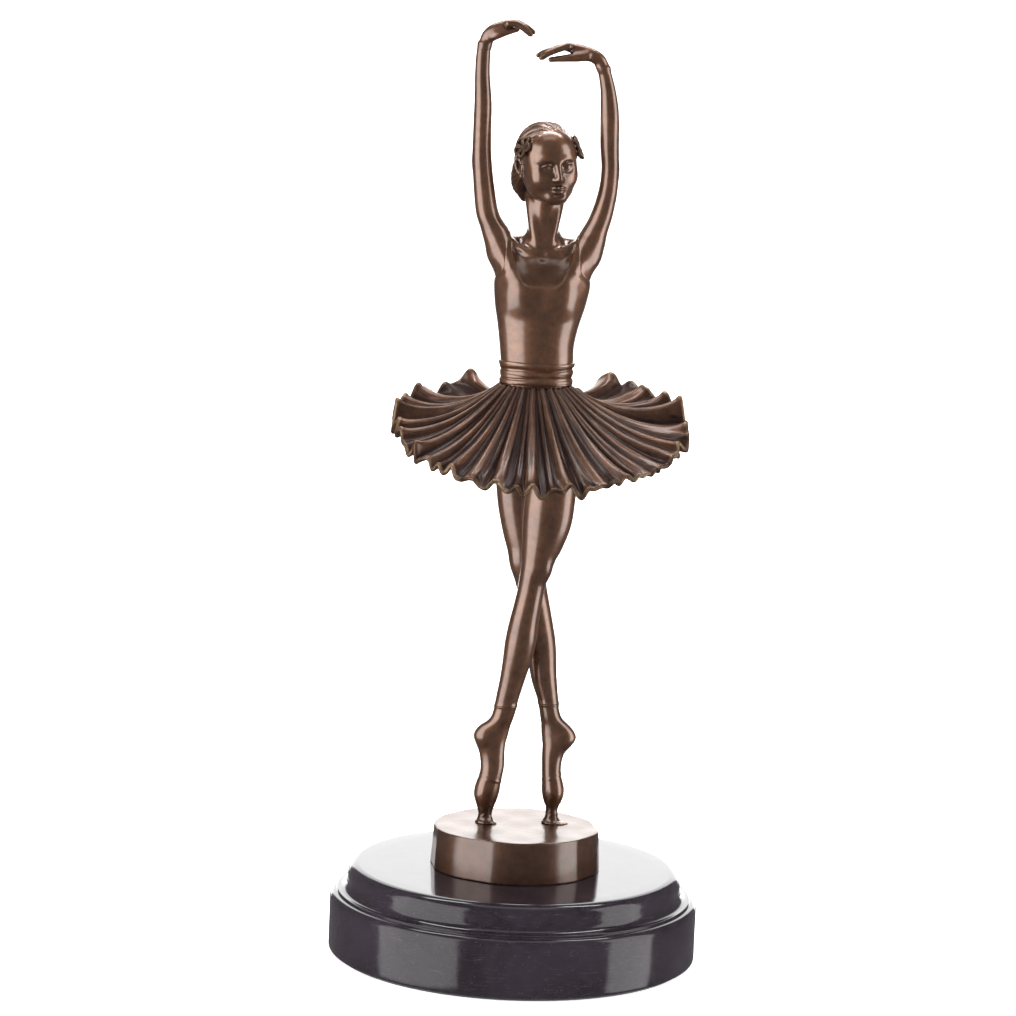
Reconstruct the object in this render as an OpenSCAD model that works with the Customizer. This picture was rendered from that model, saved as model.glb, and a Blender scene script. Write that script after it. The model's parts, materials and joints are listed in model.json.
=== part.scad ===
// Bronze ballet dancer on a round stepped marble base.
// Millimetres. +Z is up, -Y is the front, and the origin is the centre of the underside.

/* [Marble base] */
// Diameter of the marble drum
base_d = 133.6; // [130:0.2:138]
// Height of the marble, from its underside to its flat top
marble_h = 31.8; // [31:0.1:33.2]
// Height of the drum, below the step
drum_h = 21.2; // [20.2:0.1:21.8]
// Thickness of the felt under the marble
felt_t = 1.2; // [0.8:0.1:2]

/* [Plinth] */
// Diameter of the bronze plinth
plinth_d = 62; // [59:0.2:64]
// Height of the bronze plinth
plinth_h = 14.6; // [13.6:0.1:16]
// Wall of the hollow plinth casting
plinth_wall = 3.4; // [3:0.1:4]

/* [Tutu] */
// Diameter across the tutu's rim
tutu_d = 106; // [100:1:110]
// Forward tilt of the tutu's rim, in degrees
tutu_tilt = 17; // [14:0.5:20]
// Number of pleats
pleats = 30; // [24:1:34]
// Depth of a pleat at the rim, from crest to valley
pleat_depth = 4; // [3:0.5:6]

/* [Fixings] */
// Diameter of the threaded stud through the marble
stud_d = 8; // [7:0.5:8]
// Diameter of the locating pins in the hips, shoulders and neck
pin_d = 3; // [2.4:0.1:3.4]
// Diameter of the small pins in the ankles and wrists
small_pin_d = 1.8; // [1.4:0.1:2]
// Radial clearance of a pin in its bore
pin_gap = 0.05; // [0.03:0.01:0.1]

/* [Hidden] */

bronze = [0.36, 0.24, 0.15];
dark_bronze = [0.27, 0.17, 0.12];
marble = [0.13, 0.09, 0.11];
steel = [0.62, 0.62, 0.60];
felt = [0.10, 0.22, 0.14];

round_fn = 64;      // facets of true circles
limb_sides = 14;    // sides of a limb's section
finger_sides = 8;   // sides of a finger's section
per_station = 3;    // rings made for each station of a limb

plinth_z = felt_t + marble_h;
figure_z = plinth_z + plinth_h;

// Heights above the plinth's top, in the figure's own coordinates
ankle_z = 42;
thigh_z = 132;
hub_z = 160.8;      // underside of the tutu's flat hub
waist_z = 162.8;    // top of the hub, where the torso stands
sash_top = 170.8;
shoulder_z = 212;
neck_z = 231;

// Sections of the limbs: [x, y, z, half width, half depth], figure coordinates.
// The dancer's left is at +X. Her left leg crosses in front, so its foot is at -X.
left_leg_line = [
    [8.4, -4.6, thigh_z, 8.2, 7.6], [7.6, -5, 120, 8.4, 7.4], [6.2, -5, 110, 7.9, 7],
    [4.3, -4.6, 101, 6.7, 6.4], [2.8, -4.2, 95, 5.4, 5.6], [1.2, -4.2, 86, 4.9, 5],
    [-0.4, -3.4, 76, 5.2, 5.2], [-1.3, -2.4, 68, 5.8, 5.4], [-2.6, -1.4, 59, 5.2, 4.9],
    [-4.2, -0.4, 51, 4.5, 4.2], [-6, 0.8, ankle_z, 4.2, 3.8]];
left_foot_line = [
    [-6, 0.8, ankle_z, 4.2, 3.8], [-8, 1.4, 38, 5.4, 3.8], [-10.1, 1.8, 34, 6.3, 3.7],
    [-10.2, 2, 31, 5.7, 3.6], [-9.4, 2.4, 27, 4.6, 3.5], [-9.4, 2.8, 22, 4.1, 3.6],
    [-10.2, 3.2, 17, 4.1, 3.8], [-11, 3.6, 12.5, 4.4, 3.8], [-11.6, 3.8, 8.5, 3.9, 3.4],
    [-11.5, 4, 4, 2.9, 2.8], [-11.4, 4, 0, 2.2, 2.2]];
right_leg_line = [
    [-5.6, 6.4, thigh_z, 8, 7.2], [-4.2, 6.8, 120, 7.7, 7], [-3, 7.2, 110, 7.4, 6.8],
    [-1.7, 7.4, 101, 6.5, 6.3], [-0.4, 7.6, 94.5, 5.4, 5.6], [1.8, 8, 86, 5.1, 5],
    [4, 8.2, 77, 5.8, 5.3], [5.4, 8, 69, 6, 5.4], [7.2, 8, 59, 5.2, 4.9],
    [8.7, 8, 50, 4.4, 4.2], [10.4, 8, ankle_z, 4.2, 3.8]];
right_foot_line = [
    [10.4, 8, ankle_z, 4.2, 3.8], [12, 8, 38, 5.3, 3.8], [13.4, 8, 33.5, 6.4, 3.7],
    [13.6, 8, 31, 6, 3.6], [12.2, 8, 27, 4.6, 3.5], [11.6, 8, 22, 3.7, 3.6],
    [11.9, 8, 17.5, 3.6, 3.7], [12.6, 8, 13, 3.9, 3.8], [12.7, 8, 8.5, 3.2, 3.3],
    [12.6, 8, 4, 2.7, 2.8], [12.6, 8, 0, 2.2, 2.2]];
hips_line = [
    [1.4, 1, thigh_z, 15.6, 12.8], [1.2, 1.2, 138, 16.2, 13.2], [0.8, 1.2, 145, 15.4, 12.6],
    [0.4, 0.8, 152, 13.8, 11.2], [0.3, 0.2, 157, 12.2, 9.6], [0.3, 0, hub_z, 11, 8.8]];
torso_line = [
    [0.3, 0, sash_top, 12.8, 9.8], [0, -0.2, 177, 13, 10], [0.2, -0.4, 184, 14.3, 10.8],
    [0.6, -0.6, 191, 16, 11.4], [1, -0.4, 198, 16.9, 11], [1.3, 0.4, 204.5, 15.4, 9.6],
    [1.1, 1.2, 209, 11.6, 7.8], [0.8, 1.8, 212.5, 8.6, 6.8], [0.6, 2.2, 216, 6.2, 5.8],
    [0.6, 2.4, 220, 5.4, 5.3], [0.8, 2.5, 225, 5.3, 5.2], [1, 2.6, neck_z, 5.3, 5.2]];
left_arm_line = [
    [15.6, 1.4, 206, 6.4, 6], [16.6, 1.2, shoulder_z, 6, 5.4], [18.6, 0.8, 217.5, 5, 4.9],
    [21, 0.2, 223.5, 4.1, 4.1], [22.9, -0.6, 232, 3.5, 3.7], [23.4, -1.6, 240, 3.2, 3.4],
    [22.8, -2.6, 249, 3.4, 3.5], [22.3, -4, 260, 3.4, 3.2], [21.5, -5, 267.5, 2.9, 2.8],
    [19.8, -5.8, 274, 2.6, 2.5]];
right_arm_line = [
    [-12.8, 1.4, 206, 6.2, 6], [-14.5, 1.2, shoulder_z, 5.6, 5.4], [-16.6, 0.8, 217.5, 5.2, 4.9],
    [-19.4, 0.2, 223, 4.3, 4.2], [-21, -0.6, 231.5, 3.9, 3.8], [-22.2, -1.6, 242, 3.5, 3.5],
    [-22.5, -2.6, 251, 3.3, 3.4], [-22.6, -3.8, 262, 3.2, 3.1], [-23.2, -5, 272, 2.7, 2.6],
    [-23.2, -5.8, 281, 2.6, 2.4]];
left_palm_line = [
    [19.8, -5.8, 274, 2.6, 2.5], [18.4, -6.2, 277.4, 2.4, 2.7], [15.6, -6.6, 280.3, 2.2, 3.1],
    [12, -7, 282, 2, 3.4], [8.4, -7.4, 283.2, 1.8, 3.5], [5.6, -7.8, 283.4, 1.4, 3.4]];
right_palm_line = [
    [-23.2, -5.8, 281, 2.6, 2.4], [-22.4, -6.2, 284.8, 2.4, 2.7], [-19.6, -6.6, 288.2, 2.2, 3.1],
    [-16, -7, 289.9, 2, 3.4], [-13.4, -7.4, 290.2, 1.7, 3.4]];
// Finger centre lines for the middle finger: [x, y, z, half height, half width]
left_finger_line = [
    [6.4, -7.8, 283.3, 1.2, 1], [3, -8, 283, 1.1, 1], [-0.6, -8.2, 281.8, 1, 0.9],
    [-4, -8.4, 279.9, 0.7, 0.7]];
right_finger_line = [
    [-14, -7.4, 290.1, 1.2, 1], [-11, -7.6, 290.3, 1.1, 1], [-7.8, -7.8, 289.2, 1, 0.9],
    [-5.2, -8, 287.2, 0.7, 0.7]];
left_thumb_line = [
    [13, -8.6, 280.8, 1.2, 1.2], [8.6, -9.6, 278.8, 1.2, 1.1], [4.4, -9.6, 278.2, 1.1, 1],
    [0.8, -9.2, 278.6, 0.7, 0.7]];
right_thumb_line = [
    [-19, -8.4, 287, 1.2, 1.2], [-16.4, -9.4, 285.4, 1.2, 1.1], [-13, -9.6, 285.4, 1.1, 1],
    [-10, -9.4, 286.2, 0.7, 0.7]];
head_line = [
    [1.9, -6.6, 226.8, 2.4, 2.6], [1.9, -5.6, 228.4, 5, 5], [1.8, -3, 231.5, 7.8, 8.6],
    [1.7, -1, 236, 10, 11.2], [1.6, 0.2, 242, 11.3, 12.6], [1.4, 0.8, 248, 11.1, 12.4],
    [1, 1, 253, 8.2, 9.8], [0.8, 1, 255.8, 3.8, 4.8]];

// Each finger's shift along Y, droop of its tip and share of the middle finger's reach
finger_spread = [[-2.5, -0.8, 0.9], [-0.8, 0.1, 1], [0.9, 0, 0.94], [2.5, -1.1, 0.82]];
hip_pin_length = 12;
shoulder_pin_length = 10;
small_pin_length = 8;
waist_stud_d = 5;
waist_stud_length = 22;
neck_pin_length = 14;
sash_w = 13.2;       // half width of the sash
sash_depth = 10.2;   // half depth of the sash
sash_t = 1.3;
socket_r = 5.8;      // socket under the head that the neck stands in
left_ornament_at = [12.7, 1.2, 247.6];
right_ornament_at = [-9.9, 0.6, 248];
peg_d = 1.6;         // peg behind a hair ornament
peg_length = 2.4;
toe_tenon_d = 2.6;
toe_tenon_length = 3;

recess_d = 26;       // counterbore under the marble for the washer and nut
recess_h = 12;
stud_bottom = felt_t + 1.5;
stud_top = plinth_z + plinth_h - plinth_wall - 0.6;

// Station k of a line, held at its ends
function station(line, k) = line[max(0, min(len(line) - 1, k))];

// Catmull-Rom value between stations k and k + 1, at the fraction f
function between(line, k, f) =
    let (a = station(line, k - 1), b = station(line, k), c = station(line, k + 1), d = station(line, k + 2))
    b + f * (c - a) / 2 + f * f * (a - 2.5 * b + 2 * c - d / 2) + f * f * f * (1.5 * (b - c) + (d - a) / 2);

function smooth_line(line, per) =
    [for (k = [0 : len(line) - 2], j = [0 : per - 1]) between(line, k, j / per), line[len(line) - 1]];

function unit(v) = v / norm(v);
function centre(s) = [s[0], s[1], s[2]];

// Direction of a line at ring k; the first ring is level
function heading(line, k) =
    k == 0 ? [0, 0, line[1][2] > line[0][2] ? 1 : -1]
           : unit(centre(station(line, k + 1)) - centre(station(line, k - 1)));

// Level oval ring of a station
function level_ring(s, sides) =
    [for (i = [0 : sides - 1]) let (a = 360 * i / sides) [s[0] + s[3] * cos(a), s[1] + s[4] * sin(a), s[2]]];

// Oval ring square to the line; its second half size lies along Y
function square_ring(line, k, sides, dir) =
    let (s = line[k], across = unit(cross([0, 1, 0], dir)), deep = cross(dir, across))
    [for (i = [0 : sides - 1])
        centre(s) + s[3] * cos(360 * i / sides) * across + s[4] * sin(360 * i / sides) * deep];

// Closed solid through rings that all have the same number of points, counted upwards
module skin(rings) {
    n = len(rings[0]);
    last = len(rings) - 1;
    polyhedron(
        points = [for (ring = rings) each ring],
        faces = [
            [for (i = [0 : n - 1]) i],
            [for (i = [n - 1 : -1 : 0]) last * n + i],
            for (k = [0 : last - 1], i = [0 : n - 1])
                each let (j = (i + 1) % n, a = k * n + i, b = k * n + j, c = a + n, d = b + n)
                    [[a, c, b], [b, c, d]]]);
}

function reversed(v) = [for (i = [len(v) - 1 : -1 : 0]) v[i]];

// Limb with level sections, whichever way its line runs
module limb(line, sides = limb_sides, per = per_station) {
    up = line[0][2] < line[len(line) - 1][2] ? line : reversed(line);
    skin([for (s = smooth_line(up, per)) level_ring(s, sides)]);
}

// Tube whose sections are square to its line
module swept(line, sides, per) {
    rings = smooth_line(line, per);
    skin([for (k = [0 : len(rings) - 1]) square_ring(rings, k, sides, heading(rings, k))]);
}

module finger(line, spread) {
    reach = spread[2];
    root = line[0];
    moved = [for (k = [0 : len(line) - 1])
        [root[0] + (line[k][0] - root[0]) * reach, line[k][1] + spread[0],
         line[k][2] + spread[1] * k / (len(line) - 1), line[k][3], line[k][4]]];
    rings = smooth_line(moved, 2);
    skin([for (k = [0 : len(rings) - 1])
        square_ring(rings, k, finger_sides,
            unit(centre(station(rings, k + 1)) - centre(station(rings, k - 1))))]);
}

module pin_at(s, length, d) {
    translate([s[0], s[1], s[2] - length / 2]) cylinder(h = length, d = d, $fn = round_fn);
}

module bore_at(s, length, d) {
    pin_at(s, length + 0.6, d + 2 * pin_gap);
}

module in_figure() {
    translate([0, 0, figure_z]) children();
}

module lengthwise_oval(w, d, h) {
    linear_extrude(h) polygon([for (i = [0 : 47]) [w * cos(i * 7.5), d * sin(i * 7.5)]]);
}

// ---- base ----

module felt_pad() {
    color(felt) cylinder(h = felt_t, r = base_d / 2 - 2.2, $fn = round_fn);
}

// Points of an oval arc from angle a0 to a1
function oval_arc(x, z, rx, rz, a0, a1, n) =
    [for (i = [0 : n]) let (a = a0 + (a1 - a0) * i / n) [x + rx * cos(a), z + rz * sin(a)]];

module marble_base() {
    r = base_d / 2;
    edge = 2.4;          // rounded edge on top of the drum
    neck_r = r - 6.3;    // upright part of the moulding
    outline = concat(
        [[0, 0], [r - 1.2, 0], [r - 0.2, 1], [r, 3]],
        oval_arc(r - edge, drum_h - edge, edge, edge, 0, 84, 6),
        [[neck_r + 3.6, drum_h + 0.2], [neck_r + 3.6, drum_h + 0.7]],
        oval_arc(neck_r + 3.1, drum_h + 4.6, 3.1, 3.6, 270, 180, 6),
        oval_arc(neck_r - 3.9, marble_h - 4.2, 3.9, 4.2, 0, 90, 6),
        [[0, marble_h]]);
    color(marble) translate([0, 0, felt_t]) difference() {
        rotate_extrude($fn = 96) polygon(outline);
        translate([0, 0, -1]) cylinder(h = marble_h + 2, d = stud_d + 1, $fn = round_fn);
        translate([0, 0, -1]) cylinder(h = recess_h + 1, d = recess_d, $fn = round_fn);
    }
}

module fixing_stud() {
    color(steel) translate([0, 0, stud_bottom]) {
        cylinder(h = stud_top - stud_bottom, d = stud_d, $fn = round_fn);
    }
}

module fixing_washer() {
    color(steel) translate([0, 0, felt_t + recess_h - 1.6]) difference() {
        cylinder(h = 1.6, d = recess_d - 4, $fn = round_fn);
        translate([0, 0, -1]) cylinder(h = 4, d = stud_d + 0.4, $fn = round_fn);
    }
}

module fixing_nut() {
    across_corners = stud_d * 1.87;
    color(steel) translate([0, 0, felt_t + recess_h - 1.6 - 6.4]) difference() {
        cylinder(h = 6.4, d = across_corners, $fn = 6);
        translate([0, 0, -1]) cylinder(h = 9, d = stud_d + 2 * pin_gap, $fn = round_fn);
    }
}

// Round outline with a few hand-filed flats: each flat is the angle that it faces
plinth_flats = [10, 52, 98, 143, 188, 241, 330];
function plinth_r(a) =
    min([plinth_d / 2,
         for (f = plinth_flats) abs(sin((a - f) / 2)) < 0.4 ? (plinth_d / 2 - 0.6) / cos(a - f) : plinth_d]);

module plinth_ring(h) {
    linear_extrude(h) polygon([for (a = [0 : 5 : 355]) plinth_r(a) * [cos(a), sin(a)]]);
}

module plinth() {
    boss_d = stud_d + 8;
    cavity_h = plinth_h - plinth_wall;
    color(bronze) translate([0, 0, plinth_z]) difference() {
        union() {
            difference() {
                plinth_ring(plinth_h);
                translate([0, 0, -1])
                    cylinder(h = cavity_h + 1, r = plinth_d / 2 - 0.9 - plinth_wall, $fn = round_fn);
            }
            cylinder(h = plinth_h - 1, d = boss_d, $fn = round_fn);
        }
        translate([0, 0, -1]) cylinder(h = cavity_h + 1, d = stud_d + 2 * pin_gap, $fn = round_fn);
        for (toe = [left_foot_line, right_foot_line])
            let (s = toe[len(toe) - 1])
                translate([s[0], s[1], plinth_h - toe_tenon_length - 0.2])
                    cylinder(h = 10, d = toe_tenon_d + 2 * pin_gap, $fn = round_fn);
    }
}

// ---- legs ----

module foot(line) {
    tip = line[len(line) - 1];
    in_figure() {
        difference() {
            limb(line);
            bore_at(line[0], small_pin_length, small_pin_d);
        }
        translate([tip[0], tip[1], -toe_tenon_length])
            cylinder(h = toe_tenon_length + 2, d = toe_tenon_d, $fn = round_fn);
    }
}

module leg(line) {
    in_figure() difference() {
        limb(line);
        bore_at(line[len(line) - 1], small_pin_length, small_pin_d);
        bore_at(line[0], hip_pin_length, pin_d);
    }
}

module left_foot() { color(bronze) foot(left_foot_line); }
module right_foot() { color(bronze) foot(right_foot_line); }
module left_leg() { color(bronze) leg(left_leg_line); }
module right_leg() { color(bronze) leg(right_leg_line); }

module ankle_pins() {
    color(steel) in_figure()
        for (line = [left_foot_line, right_foot_line]) pin_at(line[0], small_pin_length, small_pin_d);
}

module hip_pins() {
    color(steel) in_figure()
        for (line = [left_leg_line, right_leg_line]) pin_at(line[0], hip_pin_length, pin_d);
}

module hips() {
    color(bronze) in_figure() difference() {
        limb(hips_line, 20);
        for (line = [left_leg_line, right_leg_line]) bore_at(line[0], hip_pin_length, pin_d);
        bore_at([0.3, 0, waist_z], waist_stud_length, waist_stud_d);
    }
}

// ---- tutu ----

tutu_rings = 8;
tutu_points = 6;     // points round each pleat
tutu_t = 1.6;        // height of the casting's edge
hub_r = 12;
rim_centre = [3, 1, 146];

function wave(a) = cos(pleats * a) + 0.25 * cos(7 * a + 40);
// Point of the skirt's middle surface at angle a, with t = 0 at the hub and 1 at the rim
function skirt_point(a, t) =
    let (r = hub_r + (tutu_d / 2 - hub_r) * t,
         x = rim_centre[0] * t + r * cos(a),
         y = rim_centre[1] * t + r * sin(a) * (1 - 0.05 * t),
         fall = (waist_z - tutu_t / 2 - rim_centre[2]) * pow(1 - t, 1.7),
         lean = tan(tutu_tilt) * y * pow(t, 0.6))
    [x, y, rim_centre[2] + fall + lean + pleat_depth / 2 * wave(a) * pow(t, 0.8)];

module tutu() {
    count = pleats * tutu_points;
    function ring(t, up) =
        [for (i = [0 : count - 1]) skirt_point(360 * i / count, t) + [0, 0, up * tutu_t / 2]];
    // Lower face from the hub out to the rim, then the upper face back in to the hub
    loop = concat([for (k = [0 : tutu_rings]) ring(k / tutu_rings, -1)],
                  [for (k = [tutu_rings : -1 : 0]) ring(k / tutu_rings, 1)]);
    m = len(loop);
    color(dark_bronze) in_figure() {
        polyhedron(
            points = [for (r = loop) each r],
            faces = [for (k = [0 : m - 1], i = [0 : count - 1])
                each let (j = (i + 1) % count, l = (k + 1) % m,
                          a = k * count + i, b = k * count + j, c = l * count + i, d = l * count + j)
                    [[a, c, b], [b, c, d]]]);
        difference() {
            translate([0, 0, hub_z]) cylinder(h = tutu_t + 0.4, r = hub_r + 0.2, $fn = round_fn);
            bore_at([0.3, 0, waist_z], waist_stud_length, waist_stud_d);
        }
    }
}

module waist_stud() {
    color(steel) in_figure() pin_at([0.3, 0, waist_z], waist_stud_length, waist_stud_d);
}

// ---- upper body ----

module torso() {
    color(bronze) in_figure() difference() {
        union() {
            translate([0.3, 0, waist_z])
                lengthwise_oval(sash_w - sash_t - 0.1, sash_depth - sash_t - 0.1, sash_top - waist_z + 1);
            limb(torso_line, 20);
            for (line = [left_arm_line, right_arm_line])
                skin([for (s = [[line[0][0] * 0.6, line[0][1], 199, 5, 5], line[0], line[1]])
                    level_ring(s, limb_sides)]);
        }
        bore_at([0.3, 0, waist_z], waist_stud_length, waist_stud_d);
        for (line = [left_arm_line, right_arm_line]) bore_at(line[1], shoulder_pin_length, pin_d);
        bore_at(torso_line[len(torso_line) - 1], neck_pin_length, pin_d);
    }
}

module sash() {
    color(bronze) in_figure() translate([0.3, 0, waist_z]) difference() {
        lengthwise_oval(sash_w, sash_depth, sash_top - waist_z);
        translate([0, 0, -1]) lengthwise_oval(sash_w - sash_t, sash_depth - sash_t, sash_top - waist_z + 2);
    }
}

module shoulder_pins() {
    color(steel) in_figure()
        for (line = [left_arm_line, right_arm_line]) pin_at(line[1], shoulder_pin_length, pin_d);
}

module arm(line) {
    in_figure() difference() {
        limb([for (k = [1 : len(line) - 1]) line[k]]);
        bore_at(line[1], shoulder_pin_length, pin_d);
        bore_at(line[len(line) - 1], small_pin_length, small_pin_d);
    }
}

module left_arm() { color(bronze) arm(left_arm_line); }
module right_arm() { color(bronze) arm(right_arm_line); }

module wrist_pins() {
    color(steel) in_figure()
        for (line = [left_palm_line, right_palm_line]) pin_at(line[0], small_pin_length * 0.6, small_pin_d);
}

module hand(palm, finger_line, thumb) {
    in_figure() difference() {
        union() {
            swept(palm, limb_sides, 2);
            for (spread = finger_spread) finger(finger_line, spread);
            finger(thumb, [0, 0, 1]);
        }
        bore_at(palm[0], small_pin_length * 0.6, small_pin_d);
    }
}

module left_hand() { color(bronze) hand(left_palm_line, left_finger_line, left_thumb_line); }
module right_hand() { color(bronze) hand(right_palm_line, right_finger_line, right_thumb_line); }

// ---- head ----

module neck_pin() {
    color(steel) in_figure() pin_at(torso_line[len(torso_line) - 1], neck_pin_length, pin_d);
}

module head() {
    neck_top = torso_line[len(torso_line) - 1];
    color(bronze) in_figure() difference() {
        union() {
            limb(head_line, 20);
            // Low knot of hair behind the neck
            translate([-5.6, 11, 234]) sphere(r = 5, $fn = round_fn);
            // Nose and ears
            hull() {
                translate([1.6, -11.6, 238]) sphere(r = 1.1, $fn = 24);
                translate([1.6, -11, 243.5]) sphere(r = 0.7, $fn = 24);
            }
            for (side = [-1, 1])
                translate([1.6 + side * 10, 0.6, 240]) sphere(r = 1.8, $fn = 32);
        }
        translate([neck_top[0], neck_top[1], 215]) cylinder(h = neck_z - 215, r = socket_r, $fn = round_fn);
        bore_at(neck_top, neck_pin_length, pin_d);
        for (s = [left_ornament_at, right_ornament_at])
            translate([s[0], s[1], s[2]]) rotate([0, s[0] > 0 ? -90 : 90, 0])
                translate([0, 0, -1]) cylinder(h = peg_length + 1.3, d = peg_d + 2 * pin_gap, $fn = round_fn);
    }
}

// Rosette on a peg, with its face turned to one side
module ornament(s, side) {
    color(dark_bronze) in_figure() translate([s[0], s[1], s[2]]) rotate([0, side * 90, 0]) {
        rotate_extrude($fn = round_fn)
            polygon([[0, 0], [2.6, 0], [3.4, 1], [3, 1.6], [1.4, 1.2], [0, 1.8]]);
        translate([0, 0, -peg_length]) cylinder(h = peg_length + 0.5, d = peg_d, $fn = round_fn);
    }
}

module left_hair_ornament() { ornament(left_ornament_at, 1); }
module right_hair_ornament() { ornament(right_ornament_at, -1); }

felt_pad();
marble_base();
fixing_stud();
fixing_washer();
fixing_nut();
plinth();
left_foot();
right_foot();
ankle_pins();
left_leg();
right_leg();
hip_pins();
hips();
tutu();
waist_stud();
torso();
sash();
shoulder_pins();
left_arm();
right_arm();
wrist_pins();
left_hand();
right_hand();
neck_pin();
head();
left_hair_ornament();
right_hair_ornament();
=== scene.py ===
import json
import math

import bpy
import numpy as np
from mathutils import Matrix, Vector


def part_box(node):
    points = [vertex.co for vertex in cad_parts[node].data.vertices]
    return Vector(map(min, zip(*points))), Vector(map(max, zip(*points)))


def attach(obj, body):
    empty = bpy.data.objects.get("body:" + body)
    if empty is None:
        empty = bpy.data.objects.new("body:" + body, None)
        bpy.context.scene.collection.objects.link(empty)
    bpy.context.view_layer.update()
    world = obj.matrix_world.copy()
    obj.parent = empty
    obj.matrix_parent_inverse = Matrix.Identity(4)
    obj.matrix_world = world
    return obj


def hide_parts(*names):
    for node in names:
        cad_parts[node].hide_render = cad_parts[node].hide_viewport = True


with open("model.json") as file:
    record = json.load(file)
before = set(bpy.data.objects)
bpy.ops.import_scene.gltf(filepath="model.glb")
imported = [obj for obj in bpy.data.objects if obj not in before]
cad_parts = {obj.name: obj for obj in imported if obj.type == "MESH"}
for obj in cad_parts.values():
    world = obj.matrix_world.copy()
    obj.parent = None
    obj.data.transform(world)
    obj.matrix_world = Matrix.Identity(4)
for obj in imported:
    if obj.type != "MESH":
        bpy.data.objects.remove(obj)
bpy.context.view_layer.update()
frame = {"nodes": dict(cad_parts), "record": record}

import openvdb as vdb
from mathutils import Matrix, Vector

MM = 0.001
PLINTH_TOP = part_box("plinth")[1][2] / MM     # floor of the figure's own coordinates
FAR = 6.0                                    # distances are only exact nearer than this
BLOCK = 8                                    # voxels along a block's side


# ---------------------------------------------------------------- distance fields
# A field takes points, an (n, 3) array in millimetres, and gives their signed distances.
# The figure's fields stand on the plinth's top.

def meet(a, b, k):
    """Smooth union of two distances, blended over k."""
    h = np.clip(0.5 + 0.5 * (b - a) / k, 0, 1)
    return b + (a - b) * h - k * h * (1 - h)


def cut(a, b, k):
    """Distance a with the shape b taken away, blended over k."""
    return -meet(-a, b, k)


def smooth_rows(rows, per=12):
    """Catmull-Rom points through rows of numbers."""
    rows = np.asarray(rows, float)
    ends = np.vstack([rows[:1], rows, rows[-1:]])
    f = np.linspace(0, 1, per, endpoint=False)[:, None]
    out = []
    for a, b, c, d in zip(ends, ends[1:], ends[2:], ends[3:]):
        out.append(b + f * (c - a) / 2 + f ** 2 * (a - 2.5 * b + 2 * c - d / 2)
                   + f ** 3 * (1.5 * (b - c) + (d - a) / 2))
    return np.vstack(out + [rows[-1:]])


def near(p, lo, hi, field):
    """A field, worked out only in its own box and FAR outside it."""
    keep = np.all((p > np.asarray(lo) - FAR) & (p < np.asarray(hi) + FAR), axis=1)
    d = np.full(len(p), FAR)
    if keep.any():
        d[keep] = np.minimum(field(p[keep]), FAR)
    return d


def limb(rows):
    """Upright limb of level oval sections: x, y, z, half width, half depth."""
    rows = smooth_rows(sorted(rows, key=lambda r: r[2]))
    z = rows[:, 2]
    lo = [(rows[:, 0] - rows[:, 3]).min(), (rows[:, 1] - rows[:, 4]).min(), z[0]]
    hi = [(rows[:, 0] + rows[:, 3]).max(), (rows[:, 1] + rows[:, 4]).max(), z[-1]]

    def field(p):
        level = np.clip(p[:, 2], z[0], z[-1])
        x, y, w, d = (np.interp(level, z, rows[:, i]) for i in (0, 1, 3, 4))
        across = np.hypot(p[:, 0] - x, p[:, 1] - y)
        q = np.hypot((p[:, 0] - x) / w, (p[:, 1] - y) / d)
        side = across - across / np.maximum(q, 1e-6)
        side = np.where(q < 1e-3, -np.minimum(w, d), side)
        past = np.abs(p[:, 2] - level)
        return np.where(past > 0, np.hypot(np.maximum(side, 0), past), side)

    return lambda p: near(p, lo, hi, field)


def rope(rows, per=5):
    """Round chain through rows of x, y, z, radius."""
    rows = smooth_rows(rows, per)
    lo = (rows[:, :3] - rows[:, 3:]).min(0)
    hi = (rows[:, :3] + rows[:, 3:]).max(0)

    def field(p):
        best = np.full(len(p), FAR)
        for a, b in zip(rows, rows[1:]):
            along = b[:3] - a[:3]
            t = np.clip((p - a[:3]) @ along / max(along @ along, 1e-9), 0, 1)
            d = np.linalg.norm(p - a[:3] - t[:, None] * along, axis=1) - (a[3] + t * (b[3] - a[3]))
            best = np.minimum(best, d)
        return best

    return lambda p: near(p, lo, hi, field)


def egg(at, size, turn=None):
    """Ellipsoid at a point; turn is a rotation matrix for its axes."""
    at, size = np.asarray(at, float), np.asarray(size, float)
    reach = size if turn is None else np.full(3, size.max())

    def field(p):
        q = p - at
        if turn is not None:
            q = q @ turn
        k0 = np.linalg.norm(q / size, axis=1)
        k1 = np.linalg.norm(q / size ** 2, axis=1)
        return np.where(k0 < 1e-6, -size.min(), k0 * (k0 - 1) / np.maximum(k1, 1e-9))

    return lambda p: near(p, at - reach, at + reach, field)


def spin(x=0, y=0, z=0):
    """Rotation matrix for angles in degrees about X, then Y, then Z."""
    cx, cy, cz = (math.cos(math.radians(a)) for a in (x, y, z))
    sx, sy, sz = (math.sin(math.radians(a)) for a in (x, y, z))
    rx = np.array([[1, 0, 0], [0, cx, -sx], [0, sx, cx]])
    ry = np.array([[cy, 0, sy], [0, 1, 0], [-sy, 0, cy]])
    rz = np.array([[cz, -sz, 0], [sz, cz, 0], [0, 0, 1]])
    return rz @ ry @ rx


def joined(base, parts, k):
    """Field of a base with parts blended on; a part is a field or (field, blend)."""
    def field(p):
        d = base(p)
        for part in parts:
            part, blend = part if isinstance(part, tuple) else (part, k)
            d = meet(d, part(p), blend)
        return d
    return field


def hollowed(base, parts, k):
    def field(p):
        d = base(p)
        for part in parts:
            part, blend = part if isinstance(part, tuple) else (part, k)
            d = cut(d, part(p), blend)
        return d
    return field


def bump(t, width):
    return np.exp(-(t / width) ** 2)


# ---------------------------------------------------------------- meshes

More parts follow.
